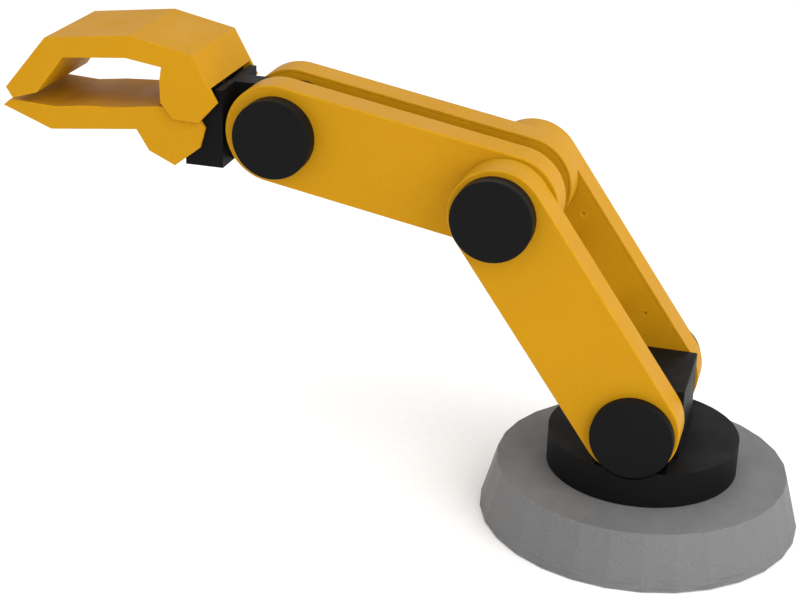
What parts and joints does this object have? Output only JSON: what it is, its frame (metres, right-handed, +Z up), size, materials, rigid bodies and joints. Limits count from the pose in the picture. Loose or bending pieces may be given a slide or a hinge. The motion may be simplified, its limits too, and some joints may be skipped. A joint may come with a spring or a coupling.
{
  "type": "desktop robot arm",
  "caption": "Desktop robot arm on a faceted round base: turning turret, twin-plate upper arm and forearm with round joint caps, wrist block and geared jaw gripper.",
  "frame": {"origin": "centre of the base on the plane its rubber feet stand on, on the turret's turning axis", "axes": "+Z up along the turret's axis; the arm at rest lies in the XZ plane and reaches toward -X; every arm joint's axis is parallel to Y"},
  "size_m": [0.455, 0.1778, 0.254],
  "materials": {
    "yellow_shell": "satin moulded plastic, amber yellow",
    "yellow_jaw": "satin moulded plastic, amber yellow",
    "black_housing": "fine grained moulded plastic, black",
    "black_cap": "fine grained moulded plastic, black",
    "grey_base": "powder coated, mid grey",
    "dark_plate": "black sheet metal",
    "rubber": "matt black rubber",
    "screw_steel": "zinc plated",
    "painted_screw": "steel screws painted to match the shells",
    "bearing_steel": "ground steel",
    "shaft_steel": "ground steel",
    "machined_aluminium": "machined",
    "motor_case": "black anodised",
    "servo_case": "moulded plastic",
    "bronze": "sintered bronze",
    "gear_brass": "cut brass",
    "circuit_board": "green solder mask",
    "chip_black": "moulded chips and headers",
    "socket_metal": "plated sheet",
    "lead_sheath": "flexible sheath"
  },
  "bodies": {
    "base": {"base_shell": "grey_base", "base_plate": "dark_plate", "rubber_feet": "rubber", "base_screws": "screw_steel", "control_board": "circuit_board", "board_parts": "chip_black", "board_standoffs": "screw_steel", "port_panel": "black_housing", "power_inlet": "black_housing", "usb_socket": "socket_metal", "slew_outer_race": "bearing_steel", "slew_balls": "bearing_steel", "yaw_motor": "motor_case"},
    "turret": {"turret_housing": "black_housing", "turret_screws": "screw_steel", "slew_inner_race": "bearing_steel", "yaw_shaft": "shaft_steel", "turret_hub": "machined_aluminium", "shoulder_block": "black_housing", "shoulder_drive_shaft": "shaft_steel", "shoulder_idler_pin": "shaft_steel"},
    "upper_arm": {"upper_arm_left_shell": "yellow_shell", "upper_arm_right_shell": "yellow_shell", "upper_arm_left_cover": "yellow_shell", "upper_arm_right_cover": "yellow_shell", "upper_arm_screws": "painted_screw", "upper_arm_spacers": "yellow_shell", "shoulder_motor": "motor_case", "shoulder_bearing": "bronze", "shoulder_caps": "black_cap", "elbow_motor": "motor_case", "elbow_bearing": "bronze", "elbow_caps": "black_cap", "upper_arm_lead": "lead_sheath"},
    "forearm": {"forearm_left_shell": "yellow_shell", "forearm_right_shell": "yellow_shell", "forearm_left_cover": "yellow_shell", "forearm_right_cover": "yellow_shell", "forearm_screws": "painted_screw", "forearm_spacers": "yellow_shell", "elbow_drive_shaft": "shaft_steel", "elbow_idler_pin": "shaft_steel", "wrist_motor": "motor_case", "wrist_bearing": "bronze", "wrist_caps": "black_cap", "forearm_lead": "lead_sheath"},
    "hand": {"palm_left_half": "black_housing", "palm_right_half": "black_housing", "palm_screws": "screw_steel", "wrist_idler_pin": "shaft_steel", "wrist_drive_shaft": "shaft_steel", "gripper_servo": "servo_case", "jaw_bushes": "bronze"},
    "servo_output": {"gripper_pinion": "gear_brass"},
    "lower_finger": {"lower_jaw": "yellow_jaw", "lower_jaw_gear": "gear_brass", "lower_jaw_shaft": "shaft_steel"},
    "upper_finger": {"upper_jaw": "yellow_jaw", "upper_jaw_gear": "gear_brass", "upper_jaw_shaft": "shaft_steel"}
  },
  "joints": [
    {"name": "turret_yaw", "type": "hinge", "parent": "base", "child": "turret", "pos_m": [0, 0, 0.0308], "axis": [0, 0, 1], "range_deg": [-150, 150]},
    {"name": "shoulder_pitch", "type": "hinge", "parent": "turret", "child": "upper_arm", "pos_m": [0, 0, 0.06987], "axis": [0, 1, 0], "range_deg": [-22, 65]},
    {"name": "elbow_pitch", "type": "hinge", "parent": "upper_arm", "child": "forearm", "pos_m": [-0.08024, 0, 0.18273], "axis": [0, -1, 0], "range_deg": [-44, 36]},
    {"name": "wrist_pitch", "type": "hinge", "parent": "forearm", "child": "hand", "pos_m": [-0.20668, 0, 0.2056], "axis": [0, -1, 0], "range_deg": [-80, 85]},
    {"name": "lower_jaw_open", "type": "hinge", "parent": "hand", "child": "lower_finger", "pos_m": [-0.26488, 0, 0.2032], "axis": [0, -1, 0], "range_deg": [0, 28]},
    {"name": "upper_jaw_open", "type": "hinge", "parent": "hand", "child": "upper_finger", "pos_m": [-0.25447, 0, 0.22483], "axis": [0, 1, 0], "range_deg": [0, 28]},
    {"name": "servo_spin", "type": "hinge", "parent": "hand", "child": "servo_output", "pos_m": [-0.24704, 0, 0.20079], "axis": [0, 1, 0], "range_deg": [0, 56]}
  ],
  "couplings": [
    {"joint": "upper_jaw_open", "follows": "lower_jaw_open", "ratio": 1},
    {"joint": "servo_spin", "follows": "lower_jaw_open", "ratio": 2}
  ]
}
